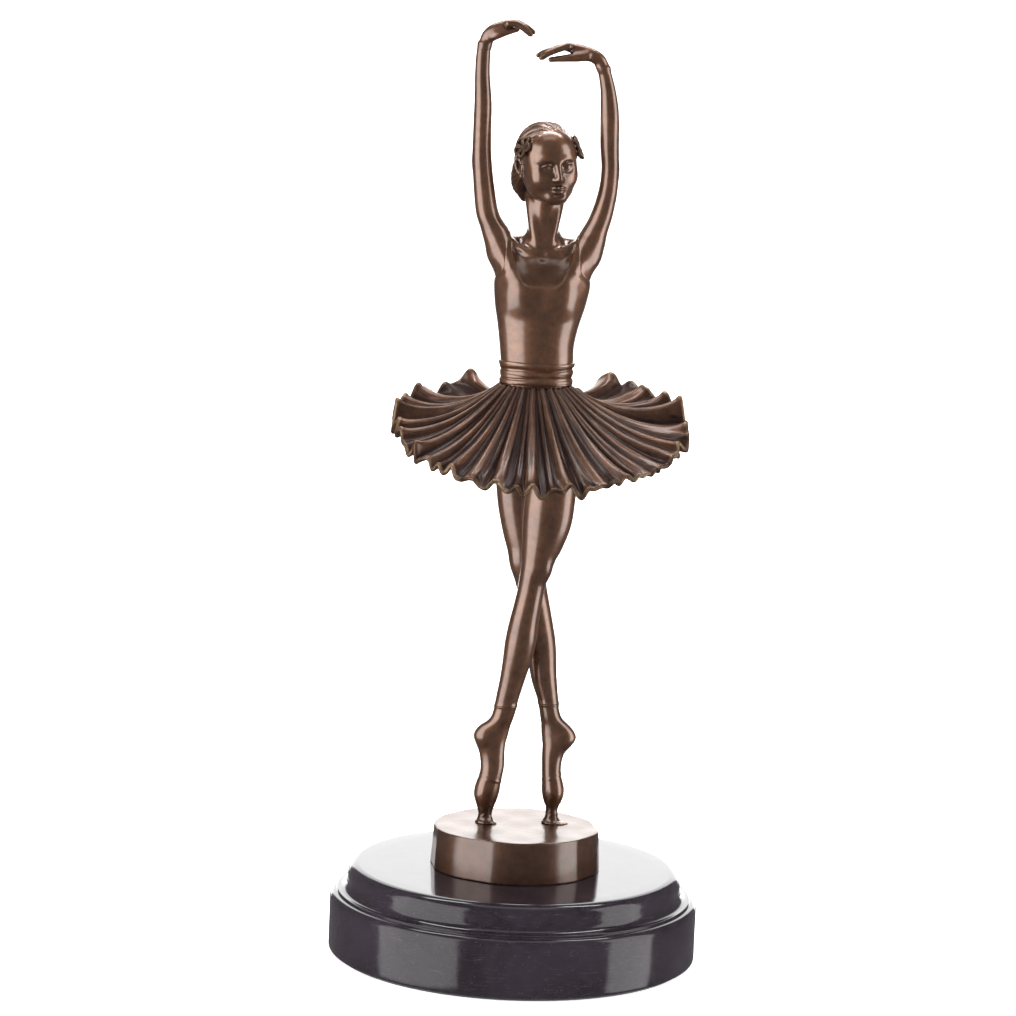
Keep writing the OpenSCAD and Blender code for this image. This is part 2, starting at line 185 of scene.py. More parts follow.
def new_object(name, verts, faces):
    mesh = bpy.data.meshes.new(name)
    mesh.from_pydata(verts, [], faces)
    mesh.validate()
    mesh.shade_smooth()
    piece = bpy.data.objects.new(name, mesh)
    bpy.context.collection.objects.link(piece)
    return piece


def quad_object(name, points, quads):
    """Mesh object from arrays, points in metres."""
    mesh = bpy.data.meshes.new(name)
    mesh.vertices.add(len(points))
    mesh.vertices.foreach_set("co", np.ascontiguousarray(points, np.float32).ravel())
    mesh.loops.add(quads.size)
    mesh.loops.foreach_set("vertex_index", np.ascontiguousarray(quads, np.int32).ravel())
    mesh.polygons.add(len(quads))
    mesh.polygons.foreach_set("loop_start", np.arange(0, quads.size, 4, dtype=np.int32))
    mesh.update()
    mesh.validate()
    mesh.shade_smooth()
    piece = bpy.data.objects.new(name, mesh)
    bpy.context.collection.objects.link(piece)
    return piece


def paint(piece, name, values):
    layer = piece.data.attributes.new(name, "FLOAT", "POINT")
    layer.data.foreach_set("value", np.ascontiguousarray(values, np.float32))


def places_of(piece):
    """Vertices in the figure's millimetres."""
    out = np.empty(len(piece.data.vertices) * 3, np.float32)
    piece.data.vertices.foreach_get("co", out)
    return out.reshape(-1, 3) / MM - [0, 0, PLINTH_TOP]


def normals_of(piece):
    out = np.empty(len(piece.data.vertices) * 3, np.float32)
    piece.data.vertex_normals.foreach_get("vector", out)
    return out.reshape(-1, 3)


def sculpt(name, field, lo, hi, voxel, lift=None):
    """Mesh of a field's surface, with painted shade measured in its hollows and a measure of its ridges, for
    wear, stored on it as attributes.
    """
    lift = PLINTH_TOP if lift is None else lift
    lo = np.asarray(lo, float)
    count = np.ceil((np.asarray(hi) - lo) / voxel / BLOCK).astype(int)
    side = BLOCK * voxel
    cells = np.stack(np.meshgrid(*[np.arange(n) for n in count], indexing="ij"), -1).reshape(-1, 3)
    rough = field(lo + (cells + 0.5) * side)
    band = 3 * voxel
    blocks = np.where(rough[:, None] > 0, band, -band) * np.ones((1, BLOCK ** 3))
    inner = np.stack(np.meshgrid(*[np.arange(BLOCK)] * 3, indexing="ij"), -1).reshape(-1, 3)
    busy = np.flatnonzero(np.abs(rough) < side * 1.25 + band)
    step = 400
    for i in range(0, len(busy), step):
        some = busy[i:i + step]
        p = lo + (cells[some][:, None, :] * BLOCK + inner) * voxel
        blocks[some] = np.clip(field(p.reshape(-1, 3)), -band, band).reshape(len(some), -1)
    grid = blocks.reshape(*count, BLOCK, BLOCK, BLOCK).transpose(0, 3, 1, 4, 2, 5)
    grid = np.ascontiguousarray(grid.reshape(count * BLOCK), np.float32)
    volume = vdb.FloatGrid(background=band)
    volume.copyFromArray(grid, tolerance=0.0)
    volume.gridClass = vdb.GridClass.LEVEL_SET
    points, quads = volume.convertToQuads(isovalue=0.0)
    at = lo + points * voxel
    piece = quad_object(name, (at + [0, 0, lift]) * MM, quads[:, ::-1])
    n = normals_of(piece)
    # painted shade: how closed in each point is, read from the field just outside it; ridge: how far it
    # stands out, for rubbed wear
    hollow = np.zeros(len(at))
    ridge = np.zeros(len(at))
    for reach in (0.6, 1.6):
        hollow += np.clip(1 - field(at + n * reach) / reach, 0, 1) / 2
        ridge += np.clip(1 + field(at - n * reach) / reach, 0, 1) / 2
    paint(piece, "hollow", hollow)
    paint(piece, "ridge", ridge)
    return piece


# ---------------------------------------------------------------- the dancer's lines
# Rows of x, y, z, half width, half depth. The dancer's left is at +X.

WAIST = 162.8
SASH_TOP = 170.8
NECK = 229.0
ANKLE = 44.6

TRUNK = [(0.3, 0.1, 160, 12.4, 9.2), (0.3, 0, 166, 12.1, 9.1), (0.3, -0.1, 171, 12.7, 9.6),
         (0, -0.2, 177, 13.1, 10), (0.2, -0.4, 184, 14.3, 10.7), (0.6, -0.6, 191, 15.9, 11.2),
         (1, -0.4, 198, 16.6, 10.8), (1.3, 0.4, 204.5, 14.6, 9.2), (1.1, 1.4, 209, 11, 7.2),
         (0.8, 2, 212.5, 8.2, 6.3), (0.6, 2.4, 216, 6.1, 5.7), (0.6, 2.6, 220, 5.6, 5.4),
         (0.8, 2.7, 225, 5.6, 5.3), (1, 2.8, 232, 5.8, 5.7), (1.2, 2.6, 240, 5.8, 5.6)]
LEFT_ARM = [(11, 1.5, 199, 4.6, 5), (15, 1.4, 206, 6, 5.8), (16.8, 1.2, 212, 5.9, 5.4),
            (18.7, 0.8, 217.5, 4.9, 4.9), (21, 0.2, 223.5, 4.1, 4.2), (22.9, -0.6, 232, 3.5, 3.8),
            (23.4, -1.6, 240, 3.2, 3.4), (22.8, -2.6, 249, 3.4, 3.6), (22.3, -4, 260, 3.35, 3.1),
            (21.5, -5, 267.5, 2.85, 2.6), (20.3, -5.7, 273, 2.5, 2.3), (19.3, -6.1, 276.4, 2.4, 2.2)]
RIGHT_ARM = [(-9, 1.5, 199, 4.6, 5), (-12.8, 1.4, 206, 5.8, 5.8), (-14.6, 1.2, 212, 5.6, 5.4),
             (-16.8, 0.8, 217.5, 5.1, 4.9), (-19.5, 0.2, 223, 4.2, 4.3), (-21, -0.6, 231.5, 3.8, 3.9),
             (-22.2, -1.6, 242, 3.5, 3.6), (-22.5, -2.6, 251, 3.3, 3.5), (-22.6, -3.8, 262, 3.15, 3.1),
             (-23.2, -5, 272, 2.7, 2.5), (-23.2, -5.7, 279, 2.55, 2.25), (-22.8, -6, 283.2, 2.4, 2.2)]
HIPS = [(0.9, 1.2, 126, 8, 7), (1.2, 1.2, 134, 14.2, 11.6), (1.1, 1.2, 140, 15.6, 12.4),
        (0.8, 1, 147, 14.8, 11.8), (0.4, 0.6, 154, 13.2, 10.4), (0.3, 0.2, 160, 12, 9.4),
        (0.3, 0, 163, 11.8, 9)]
LEFT_LEG = [(8.4, -2, 140, 7.6, 8), (8, -4, 132, 8.6, 7.8), (7.1, -4.8, 121.3, 9.1, 7.6),
            (6.4, -4.9, 112.3, 8.8, 7.3), (4.9, -4.6, 103.3, 7.2, 6.6), (3.1, -4.4, 96.6, 5.5, 5.7),
            (1.8, -4.2, 89.2, 4.9, 5.1), (0.7, -4, 82.6, 5.05, 5.1), (-0.4, -3.4, 75.9, 5.4, 5.3),
            (-1.2, -2.6, 69.2, 5.7, 5.4), (-2.1, -1.8, 62.4, 5.35, 5), (-3.4, -0.9, 55.7, 4.7, 4.4),
            (-5.2, 0.2, 47.1, 4.2, 3.9), (-5.9, 0.7, 43, 4.1, 3.8), (-7, 1.2, 39.5, 4.3, 3.7),
            (-9, 1.5, 36.7, 5.4, 3.6), (-10.4, 1.8, 33.4, 6.1, 3.5), (-10.5, 2, 30, 5.4, 3.4),
            (-9.9, 2.4, 26, 4.6, 3.4), (-9.6, 2.8, 21, 4.3, 3.6), (-10.3, 3.2, 15.8, 4.2, 3.8),
            (-11.2, 3.6, 10.6, 4.3, 3.7), (-11.5, 3.9, 6.1, 3.2, 3.1), (-11.5, 4, 3.4, 2.5, 2.5),
            (-11.4, 4, -1, 2.8, 2.6)]
RIGHT_LEG = [(-5.6, 5.2, 140, 7.4, 7.6), (-5, 6, 132, 8, 7.4), (-4.3, 6.6, 121.4, 7.8, 7.1),
             (-3.4, 6.9, 114, 7.6, 6.9), (-2, 7.2, 106, 7.1, 6.6), (-0.5, 7.4, 98.4, 6.3, 6.2),
             (1, 7.6, 91.3, 5.9, 5.8), (2.4, 7.9, 85.5, 5.5, 5.4), (3.9, 8.1, 79.5, 5.3, 5.3),
             (5, 8.2, 74, 5.35, 5.3), (6, 8.2, 69, 5.35, 5.2), (6.7, 8.1, 64, 5.25, 5),
             (7.5, 8, 56, 4.9, 4.6), (8.4, 8, 51, 4.5, 4.2), (9.6, 8, 46, 3.9, 3.9),
             (10.3, 8, 42, 3.7, 3.8), (11.1, 8, 39.2, 4, 3.7), (12.4, 8, 37, 4.9, 3.6),
             (13.7, 8, 33.9, 6, 3.5), (14.1, 8, 31.6, 6.1, 3.4), (13.5, 8, 29, 5.2, 3.4),
             (12.4, 8, 25.8, 4.1, 3.4), (12, 8, 22, 3.6, 3.5), (12.2, 8, 16.2, 3.5, 3.7),
             (12.8, 8, 11.2, 3.6, 3.7), (12.8, 8, 7.9, 3, 3.1), (12.8, 8, 5, 2.2, 2.4),
             (12.7, 8, -1, 2.7, 2.7)]

LEFT_HEEL = (-16, 1.9, 33)
RIGHT_HEEL = (19.6, 8, 32.2)


# ---------------------------------------------------------------- trunk and arms

left_arm_field = joined(limb(LEFT_ARM), [egg((25, 0.4, 240.5), (1.4, 1.8, 4))], 2)
right_arm_field = joined(limb(RIGHT_ARM), [egg((-24, 0.4, 242), (1.4, 1.8, 4))], 2)


def make_skin():
    trunk = limb(TRUNK)
    parts = [(left_arm_field, 4.6), (right_arm_field, 4.6)]
    for s in (-1, 1):
        x = 0.8 if s > 0 else 0.6
        parts += [
            (egg((x + 5.9 * s, -6.5, 195), (5.6, 5, 6.6)), 4),
            (rope([(x + 8 * s, -6, 200, 3), (x + 12 * s, -4, 206, 2.6),
                   (x + 15.4 * s, -1.6, 213, 1.8)]), 3.4),
            (rope([(x + 10.6 * s, 3.6, 184, 1.6), (x + 12.4 * s, 4.2, 193, 2.4),
                   (x + 14 * s, 4.4, 201, 2.6), (x + 15.6 * s, 4.2, 209, 2.2)]), 3),
            (rope([(x + 1.6 * s, -2.7, 209.3, 0.7), (x + 6 * s, -3.8, 210.4, 0.7),
                   (x + 10.6 * s, -2, 213, 0.8)]), 2.6),
            (rope([(x + 5.6 * s, 3.4, 230, 1.6), (x + 3.6 * s, -1.1, 219, 1.4),
                   (x + 1.4 * s, -2.9, 210.4, 0.8)]), 2),
            (rope([(x + 2 * s, 5.4, 218.5, 1.8), (x + 5.2 * s, 4.8, 212.6, 2.8),
                   (x + 11.6 * s, 3.6, 211.6, 2.9)]), 2.6),
            (egg((x + 7.6 * s, 7.8, 200), (4.4, 1.5, 6.4), spin(y=-18 * s)), 3.4)]
    body = joined(trunk, parts, 2.5)
    dips = [(egg((0.8, -7.5, 209.6), (1.4, 2, 1.9)), 1.6),
            (rope([(0.8, 11.9, 202, 0.8), (0.4, 11.2, 186, 1.1), (0.3, 10.4, 172, 1)]), 2.4)]
    return hollowed(body, dips, 1.5)


skin = make_skin()


def armhole(p):
    """Positive inside the leotard's arm openings' edge, on the trunk's side."""
    low = np.clip(205 - p[:, 2], 0, 11)
    edge = 13.9 - 0.1 * (p[:, 2] - 203) - np.abs(p[:, 0] - 0.8) + 0.13 * low ** 2
    return np.maximum(edge, 2 * (200.4 - p[:, 2]))


def neckline(p):
    """Positive below the leotard's neckline."""
    x = np.abs(p[:, 0] - 0.8)
    front = 198.2 + 14.5 * (x / 11.2) ** 4.6
    back = 191 + 20 * (x / 10.8) ** 2.6
    side = np.clip((p[:, 1] + 3) / 5, 0, 1)
    return front + (back - front) * side - p[:, 2]


CLOTH = 0.4


def dressed(p):
    neck = neckline(p)
    cloth = CLOTH * np.clip(neck / 1.1 + 0.5, 0, 1)
    return skin(p) - cloth * np.clip(armhole(p) / 2, 0, 1)


def torso_field(p):
    d = np.maximum(dressed(p), p[:, 2] - NECK)
    d = np.maximum(d, WAIST + 0.2 - p[:, 2])
    return np.maximum(d, -armhole(p))


def arm_region(side):
    def field(p):
        d = np.maximum(skin(p) + 0.07 * np.clip(armhole(p) / 0.3 + 0.6, 0, 1), armhole(p) - 0.45)
        return np.maximum(d, 2 - side * p[:, 0])
    return field


# ---------------------------------------------------------------- hands

def hand_field(arm, palm, fingers, thumb):
    web = [(*(np.add(a[:3], b[:3]) / 2), 1.4) for a, b in zip(palm[1:4], thumb[:3])]
    parts = [(rope(palm), 1.6), *((rope(f), 0.5) for f in fingers), (rope(thumb), 1.0), (rope(web), 1.2)]
    return joined(limb(arm), parts, 1)


def spread_fingers(middle, rows):
    """Fingers made from the middle one: each row is a shift along Y, a droop and a reach."""
    root = middle[0]
    out = []
    for shift, droop, reach in rows:
        finger = []
        for k, (x, y, z, r) in enumerate(middle):
            t = k / (len(middle) - 1)
            finger.append((root[0] + (x - root[0]) * reach, y + shift, z + droop * t,
                           r * (0.92 + 0.08 * reach)))
        out.append(finger)
    return out


SPREAD = [(-2.2, -0.7, 0.9), (-0.75, 0.1, 1), (0.75, 0, 0.95), (2.1, -0.9, 0.84)]
LEFT_PALM = [(19.3, -6.1, 276.6, 2.15), (17.8, -6.2, 278.9, 2.35), (15.4, -6.5, 280.7, 2.2),
             (12, -6.8, 281.9, 2.1), (8.6, -7.1, 282.7, 1.9), (6, -7.4, 283.2, 1.5)]
LEFT_FINGER = [(6.6, -7.5, 283.6, 1.3), (3.8, -7.7, 282.9, 1.2), (1, -7.9, 282, 1.1),
               (-1.8, -8, 281, 1), (-3.9, -8.1, 279.8, 0.8)]
LEFT_THUMB = [(13.2, -8.2, 280.4, 1.7), (10, -9.2, 279.8, 1.6), (6.6, -9.6, 279.4, 1.35),
              (3.4, -9.5, 279, 1.1), (0.6, -9.3, 278.6, 0.9)]
RIGHT_PALM = [(-22.7, -6, 283.4, 2.25), (-21.6, -6.1, 286.1, 2.3), (-19.6, -6.4, 288, 2.25),
              (-16.8, -6.8, 289.4, 2), (-14.2, -7.1, 290.4, 1.6)]
RIGHT_FINGER = [(-14.6, -7.2, 290.6, 1.3), (-11.8, -7.4, 290.9, 1.2), (-9.4, -7.6, 290, 1.15),
                (-7.4, -7.7, 288.9, 1), (-5.8, -7.8, 287.8, 0.8)]
RIGHT_THUMB = [(-20.8, -7.2, 285.4, 1.6), (-18.4, -8.4, 286.4, 1.45), (-16, -8.8, 287.3, 1.25),
               (-13.6, -8.8, 288, 1), (-11.6, -8.6, 288.5, 0.8)]

left_hand_field = hand_field(LEFT_ARM, LEFT_PALM, spread_fingers(LEFT_FINGER, SPREAD), LEFT_THUMB)
right_hand_field = hand_field(RIGHT_ARM, RIGHT_PALM, spread_fingers(RIGHT_FINGER, SPREAD), RIGHT_THUMB)
LEFT_WRIST = 274.0
RIGHT_WRIST = 281.0


# ---------------------------------------------------------------- legs and feet

def whole_leg(rows, knee, heel, toward, puddle):
    """Leg with its foot in a ballet shoe; toward is the side that the heel faces, -1 or 1."""
    toe_x, toe_y = rows[-1][:2]
    shape = joined(limb(rows), [
        (egg(knee, (3, 3.4, 5)), 3),
        (egg((heel[0] + 3.4 * -toward, heel[1], heel[2]), (3, 3, 3.2)), 2.6),
        (egg((toe_x + 0.5 * toward, toe_y - 0.4, 12.4), (3, 3.4, 4.4)), 3),
        (egg((toe_x, toe_y, 0), (3.6, 3.3, 1.3)), 1.6)], 2)
    weld = egg((toe_x + puddle[0], toe_y + puddle[1], 0.1), (puddle[2], puddle[2] * 0.7, 0.75))

    def field(p):
        across = (p[:, 0] - toe_x) * toward
        ribbon = 0.24 * bump(p[:, 2] - ANKLE, 0.65)
        vamp = 0.12 * bump(p[:, 2] - 17.5 - 0.35 * across, 0.45)
        d = meet(shape(p), weld(p), 0.7) - ribbon - vamp
        pits = (0.1 * np.sin(2.1 * p[:, 0] + 3 * np.sin(0.9 * p[:, 2]))
                * np.sin(1.9 * p[:, 1] + 1.3 * p[:, 2]))
        return d - pits * np.clip(1 - p[:, 2] / 14, 0, 1)
    return field


left_leg_field = whole_leg(LEFT_LEG, (5.6, -6, 97.5), LEFT_HEEL, -1, (0.8, -1.2, 3.4))
right_leg_field = whole_leg(RIGHT_LEG, (-2.6, 6.2, 97.5), RIGHT_HEEL, 1, (2.4, -1.4, 3.8))


def hips_shape():
    parts = [(left_leg_field, 3), (right_leg_field, 3)]
    for s in (-1, 1):
        parts.append((egg((0.9 + 6.4 * s, 6.6, 141.5), (7.2, 6.6, 7.6)), 2.4))
    return joined(limb(HIPS), parts, 3)


hips_skin = hips_shape()


def leg_opening(p):
    """Height of the leotard's leg edge above the crotch: positive on the cloth."""
    return p[:, 2] - (136.5 + 0.8 * np.maximum(np.abs(p[:, 0] - 1.2) - 2.5, 0))


def hips_field(p):
    inside = leg_opening(p)
    d = hips_skin(p) - CLOTH * np.clip(inside / 0.35 + 0.5, 0, 1)
    return np.maximum(np.maximum(d, -inside), p[:, 2] - WAIST)


def leg_region(own, other, keep_other):
    def field(p):
        d = meet(hips_skin(p) + 0.02, own(p), 0.6)
        d = own(p) + (d - own(p)) * np.clip((p[:, 2] - 112) / 12, 0, 1)
        gap = -other(p) + 0.05
        d = np.maximum(d, gap if keep_other else -FAR)
        return np.maximum(np.maximum(d, leg_opening(p)), ANKLE - p[:, 2])
    return field


# ---------------------------------------------------------------- head

HEAD_AT = np.array([1.3, 0.5, 241.4])
HEAD_TURN = spin(x=3, y=-5, z=20)
HEAD_SIZE = 1.07


def face_shape():
    skull = joined(egg((0, 1.6, 2.6), (9.3, 11.4, 10.6)), [
        (egg((0, -3.9, 3.2), (7.6, 5.4, 6.6)), 4),
        (egg((0, -2.6, -4.6), (7.4, 7, 7.6)), 4),
        (egg((0, -7, -9.6), (2.9, 2.6, 2.6)), 3.2)], 3)
    for s in (-1, 1):
        skull = joined(skull, [
            (egg((4.4 * s, -5.6, -3.8), (3.2, 3, 3.6)), 3.2),
            (rope([(6.8 * s, 0.4, -4.6, 1.7), (5.2 * s, -2.8, -8.6, 1.8),
                   (2 * s, -6.4, -10.6, 1.6)]), 3)], 2)
    face = hollowed(skull, [(egg((3.6 * s, -10.9, -0.1), (2.7, 2.4, 2)), 1.6) for s in (-1, 1)], 1)
    parts = []
    for s in (-1, 1):
        parts += [
            (rope([(1.4 * s, -9, 2.4, 0.3), (3.5 * s, -9, 3.1, 0.3), (6 * s, -7.6, 2.4, 0.25)]), 2),
            (egg((3.5 * s, -7.3, -0.1), (2, 2, 1.8)), 0.25),
            (rope([(1.7 * s, -8.7, -0.3, 0.24), (2.6 * s, -9.35, 0.8, 0.32), (3.8 * s, -9.4, 1, 0.34),
                   (5.5 * s, -8.3, 0, 0.26)]), 0.4),
            (rope([(1.9 * s, -8.7, -0.5, 0.2), (3 * s, -9.1, -1.3, 0.22), (4.3 * s, -8.9, -1.2, 0.22),
                   (5.4 * s, -8.2, -0.4, 0.2)]), 0.45),
            (egg((1.25 * s, -10.1, -4.1), (0.8, 1, 0.75)), 0.7)]
    face = joined(face, parts, 1)
    face = joined(face, [
        (rope([(0, -9.2, 2.4, 0.8), (0, -10.1, -0.4, 0.75), (0, -11.2, -3.2, 0.95),
               (0, -11.1, -3.9, 0.95)]), 1.2),
        (rope([(-2.7, -8.9, -7.2, 0.25), (-1, -10, -6.75, 0.55), (0, -10.05, -6.9, 0.45),
               (1, -10, -6.75, 0.55), (2.7, -8.9, -7.2, 0.25)]), 0.5),
        (rope([(-2.3, -9, -7.7, 0.25), (-0.8, -9.85, -8.2, 0.68), (0.8, -9.85, -8.2, 0.68),
               (2.3, -9, -7.7, 0.25)]), 0.45)], 1)
    return hollowed(face, [
        (rope([(-3, -9.1, -7.3, 0.12), (-1, -10.4, -7.45, 0.18), (0, -10.45, -7.55, 0.18),
               (1, -10.4, -7.45, 0.18), (3, -9.1, -7.3, 0.12)]), 0.25),
        (egg((0, -10.9, -5.5), (0.35, 0.7, 0.8)), 0.4),
        (egg((0, -10.2, -9.6), (1.9, 0.9, 0.55)), 0.9),
        (egg((-0.6, -10.9, -4.9), (0.3, 0.4, 0.3)), 0.2),
        (egg((0.6, -10.9, -4.9), (0.3, 0.4, 0.3)), 0.2)], 1)


def ear(s):
    x = 9.2 * s
    rim = rope([(x, 0.5, -4, 0.45), (x + 0.9 * s, 2.4, -1.6, 0.55), (x + 1.1 * s, 2.6, 0.9, 0.6),
                (x + 0.7 * s, 1, 1.9, 0.55), (x + 0.2 * s, -0.2, 0.6, 0.4)])
    lobe = egg((x + 0.2 * s, 0.4, -3.6), (0.7, 0.9, 1))
    return joined(egg((x, 1, -0.8), (0.6, 1.6, 2.4)), [(rim, 0.25), (lobe, 0.4)], 0.4)


HAIR_POLE = np.array([-0.3, 0.74, -0.6])
HAIR_POLE = HAIR_POLE / np.linalg.norm(HAIR_POLE)


def strands(q, count, seed):
    """Ripples that run over the head towards the knot."""
    u = np.cross(HAIR_POLE, [0, 0, 1.0])
    u = u / np.linalg.norm(u)
    v = np.cross(HAIR_POLE, u)
    r = np.linalg.norm(q, axis=1) + 1e-6
    round_pole = np.arctan2(q @ u, q @ v)
    off_pole = np.arccos(np.clip(q @ HAIR_POLE / r, -1, 1))
    fade = np.sin(off_pole)
    wander = 0.12 * np.sin(3 * off_pole + seed)
    a = round_pole + wander
    return fade * (0.5 * np.sin(count * a) + 0.35 * np.sin(2 * count * a + 2 * np.sin(2 * a) + seed)
                   + 0.3 * np.sin(3 * count * a + 4 * off_pole))


def hairline(q):
    """Positive where the hair covers the head."""
    x, y, z = q[:, 0], q[:, 1], q[:, 2]
    front = z - 6.6 + 0.05 * x ** 2 - 0.25 * (y + 6)
    temple = y + 1.5 + 0.55 * (z + 1) - 4.2 * np.clip((2.6 - z) / 2, 0, 1)
    nape = z + 16.5
    top = np.maximum(front, np.minimum(temple, y + 4.5))
    return np.minimum(top, nape)


def hair_shape():
    cap = joined(egg((0, 2, 2.8), (9.9, 12.1, 10.8)), [
        (egg((-1.5, 7, -3.5), (8, 6.4, 7)), 3),
        (egg((-4.4, 8.2, -7.2), (5.4, 5.2, 6.2)), 3),
        (egg((-5, 7.2, -12.6), (2.4, 2.6, 3.6)), 2.4)], 3)

    def field(q):
        ripple = strands(q - [0, 1.5, 1], 25, 1.0)
        edge = hairline(q)
        full = np.clip(edge / 3.2, 0, 1)
        full = full * full * (3 - 2 * full)
        d = cap(q) - 0.42 * ripple * (0.55 + 0.45 * full) + 0.5 * (1 - full)
        return np.maximum(d, -edge - 0.5 + 0.3 * ripple)
    return field


face_only = face_shape()
hair_only = hair_shape()
ears = joined(ear(-1), [(ear(1), 0.1)], 0.1)


def head_parts(q):
    face = meet(face_only(q), ears(q), 0.4)
    return np.minimum(face, hair_only(q))


def head_field(p):
    q = (p - HEAD_AT) @ HEAD_TURN / HEAD_SIZE
    d = meet(head_parts(q) * HEAD_SIZE, np.maximum(skin(p), NECK - p[:, 2]), 2.2)
    neck = np.hypot(p[:, 0] - 1, p[:, 1] - 2.8) - 5.9
    return cut(d, np.maximum(neck, p[:, 2] - NECK), 0.1)


def on_head(direction):
    """Where a line from the head's middle comes out of it, and its direction, in the figure's axes."""
    direction = np.asarray(direction, float) / np.linalg.norm(direction)
    reach = np.linspace(7, 18, 500)[:, None]
    out = reach[np.argmax(head_parts([0, 1.5, 1] + direction * reach) > 0)]
    return HEAD_AT + HEAD_TURN @ ([0, 1.5, 1] + direction * out) * HEAD_SIZE, HEAD_TURN @ direction


def rosette(direction, petals, size):
    """Looped petals round a centre, lying on the hair."""
    at, outward = on_head(direction)
    turn = np.array(Vector(outward).to_track_quat("Z", "Y").to_matrix())
    parts = []
    for k in range(petals):
        a = 2 * math.pi * k / petals
        c, s = math.cos(a), math.sin(a)
        loop = [(0.5 * c, 0.5 * s, 0.3, 0.45), (size * (c - 0.5 * s), size * (s + 0.5 * c), 1.2, 0.5),
                (size * 1.35 * c, size * 1.35 * s, 0.9, 0.5),
                (size * (c + 0.5 * s), size * (s - 0.5 * c), 1.2, 0.5), (0.5 * c, 0.5 * s, 0.3, 0.45)]
        parts.append((rope(loop, 4), 0.2))
        parts.append((egg((size * 0.8 * c, size * 0.8 * s, 0.2), (size * 0.55, size * 0.55, 0.5)), 0.3))
    shape = joined(egg((0, 0, 0.6), (1, 1, 1)), parts, 0.3)
    return lambda p: shape((p - at) @ turn)


# ---------------------------------------------------------------- build

FINE = 0.3

pieces = {}


def sculpt_piece(name, field, lo, hi, voxel=FINE, lift=None):
    pieces[name] = sculpt(name, field, lo, hi, voxel, lift)


# ---------------------------------------------------------------- sash

def sash_field():
    body = limb(TRUNK)

    def field(p):
        turn = np.arctan2(p[:, 1], p[:, 0])
        z = p[:, 2] - WAIST
        front = bump(p[:, 0] - 3.2, 4.6) * (p[:, 1] < 0)
        folds = 0
        for height, sway, phase, pinch in ((2.3, 0.35, 0.4, 0.5), (5.2, 0.3, 2.2, -0.6)):
            line = height + sway * np.sin(turn + phase) + 0.15 * np.sin(3 * turn + phase) + pinch * front
            folds = folds + 0.5 * bump(z - line, 0.6 - 0.12 * np.sin(2 * turn + phase))
        roll = 0.22 * np.abs(np.sin((z - 0.4 - 0.3 * np.sin(turn)) * math.pi / 2.85))
        creases = 0.05 * np.sin(9 * z + 2 * np.sin(2 * turn)) * np.sin(3 * turn + 0.5)
        pocket = 0.9 * bump(np.hypot((p[:, 0] - 3.2) / 1.9, (z - 4.2) / 0.7), 1) * (p[:, 1] < 0)
        d = body(p) - 0.95 - roll - creases + folds + pocket
        top = z - (SASH_TOP - WAIST) - 0.2 * np.sin(2 * turn)
        d = cut(np.maximum(d, -z - 0.1), -top, 0.6)
        return cut(d, body(p) + 0.3, 0.05)
    return field


# ---------------------------------------------------------------- tutu

HUB_R = 12.0
RIM_R = 53.0
RIM_AT = (3.0, 1.0, 145.5)
PLEATS = 27
PLEAT_POINTS = 34
SKIRT_RINGS = 54
SKIRT_T = 1.3


def hump(a, at, width):
    """Smooth rise round the angle at, in degrees."""
    away = (a - math.radians(at) + math.pi) % (2 * math.pi) - math.pi
    return bump(away, math.radians(width))


def skirt_surface(a, t):
    """Middle surface of the skirt and how high each point stands on its pleat, from -1 to 1."""
    front = 0.5 - 0.5 * np.sin(a)            # 1 in front, 0 behind
    back = 1 - front
    side = np.cos(a) ** 2

    def ripple(count, drift, wander=1.0):
        """Phase of an uneven ripple with a whole number of waves round the skirt."""
        return (count * a + drift * np.cos(a) + 1.2 * wander * np.sin(3 * a + count)
                + 0.9 * wander * np.sin(5 * a + 2 * count) + 0.5 * np.sin(2.4 * t + 6 * a)
                + 0.5 * (1 - t) * np.sin(9 * a))

    phase = ripple(PLEATS, 6, 1.5)
    main = np.cos(phase + 0.5 * np.sin(phase + 0.8 * np.sin(2 * a)))
    main = main + back * (np.tanh(1.8 * main) / math.tanh(1.8) - main)
    second = np.cos(ripple(43, 8))
    gathers = np.sin(ripple(64, 12)) + 0.7 * np.sin(ripple(89, 17))
    size = 1 + 0.32 * np.sin(4 * a + 1.2) + 0.34 * np.sin(7 * a + 0.4) + 0.25 * np.sin(13 * a)
    tall = 0.85 + 1.7 * back + 1.2 * side
    wave = 0.7 * main + 0.34 * second * (0.4 + 0.6 * front)
    z = (tall * size * t ** 1.2 + 0.3 * (1 - t) + 0.1) * wave
    z = z + t ** 1.5 * (0.4 + 1.2 * back) * np.sin(ripple(13, 3))
    z = z + (0.1 + 0.2 * front) * gathers * (1 - 0.5 * t) * np.clip(t * 8, 0, 1)
    edge = np.clip((t - 0.8) / 0.2, 0, 1) ** 2
    z = z + edge * (0.9 * np.sin(ripple(38, 7)) + 0.45 * np.sin(ripple(57, 9)))
    r = HUB_R + (RIM_R - HUB_R) * t
    r = r + edge * (0.5 * np.sin(ripple(14, 2)) + 0.4 * np.sin(7 * a) - 0.8 * wave - 0.6)
    x = RIM_AT[0] * t + r * np.cos(a)
    y = RIM_AT[1] * t + 0.95 ** t * r * np.sin(a)
    fall = (WAIST - 0.8 - RIM_AT[2]) * (1 - t) ** 2.1
    lean = 12.5 * np.sin(a) * t ** 1.2 + 2 * np.cos(2 * a) * t ** 2
    lift = 3.8 * hump(a, 46, 20) + 2.6 * hump(a, 163, 12) + 1.4 * hump(a, 12, 12) + 1.6 * hump(a, 128, 12)
    z = z + RIM_AT[2] + fall + lean + lift * t ** 3
    return np.stack([x, y, z], -1), np.clip(wave + 0.3 * gathers * front * (1 - 0.6 * t), -1, 1)


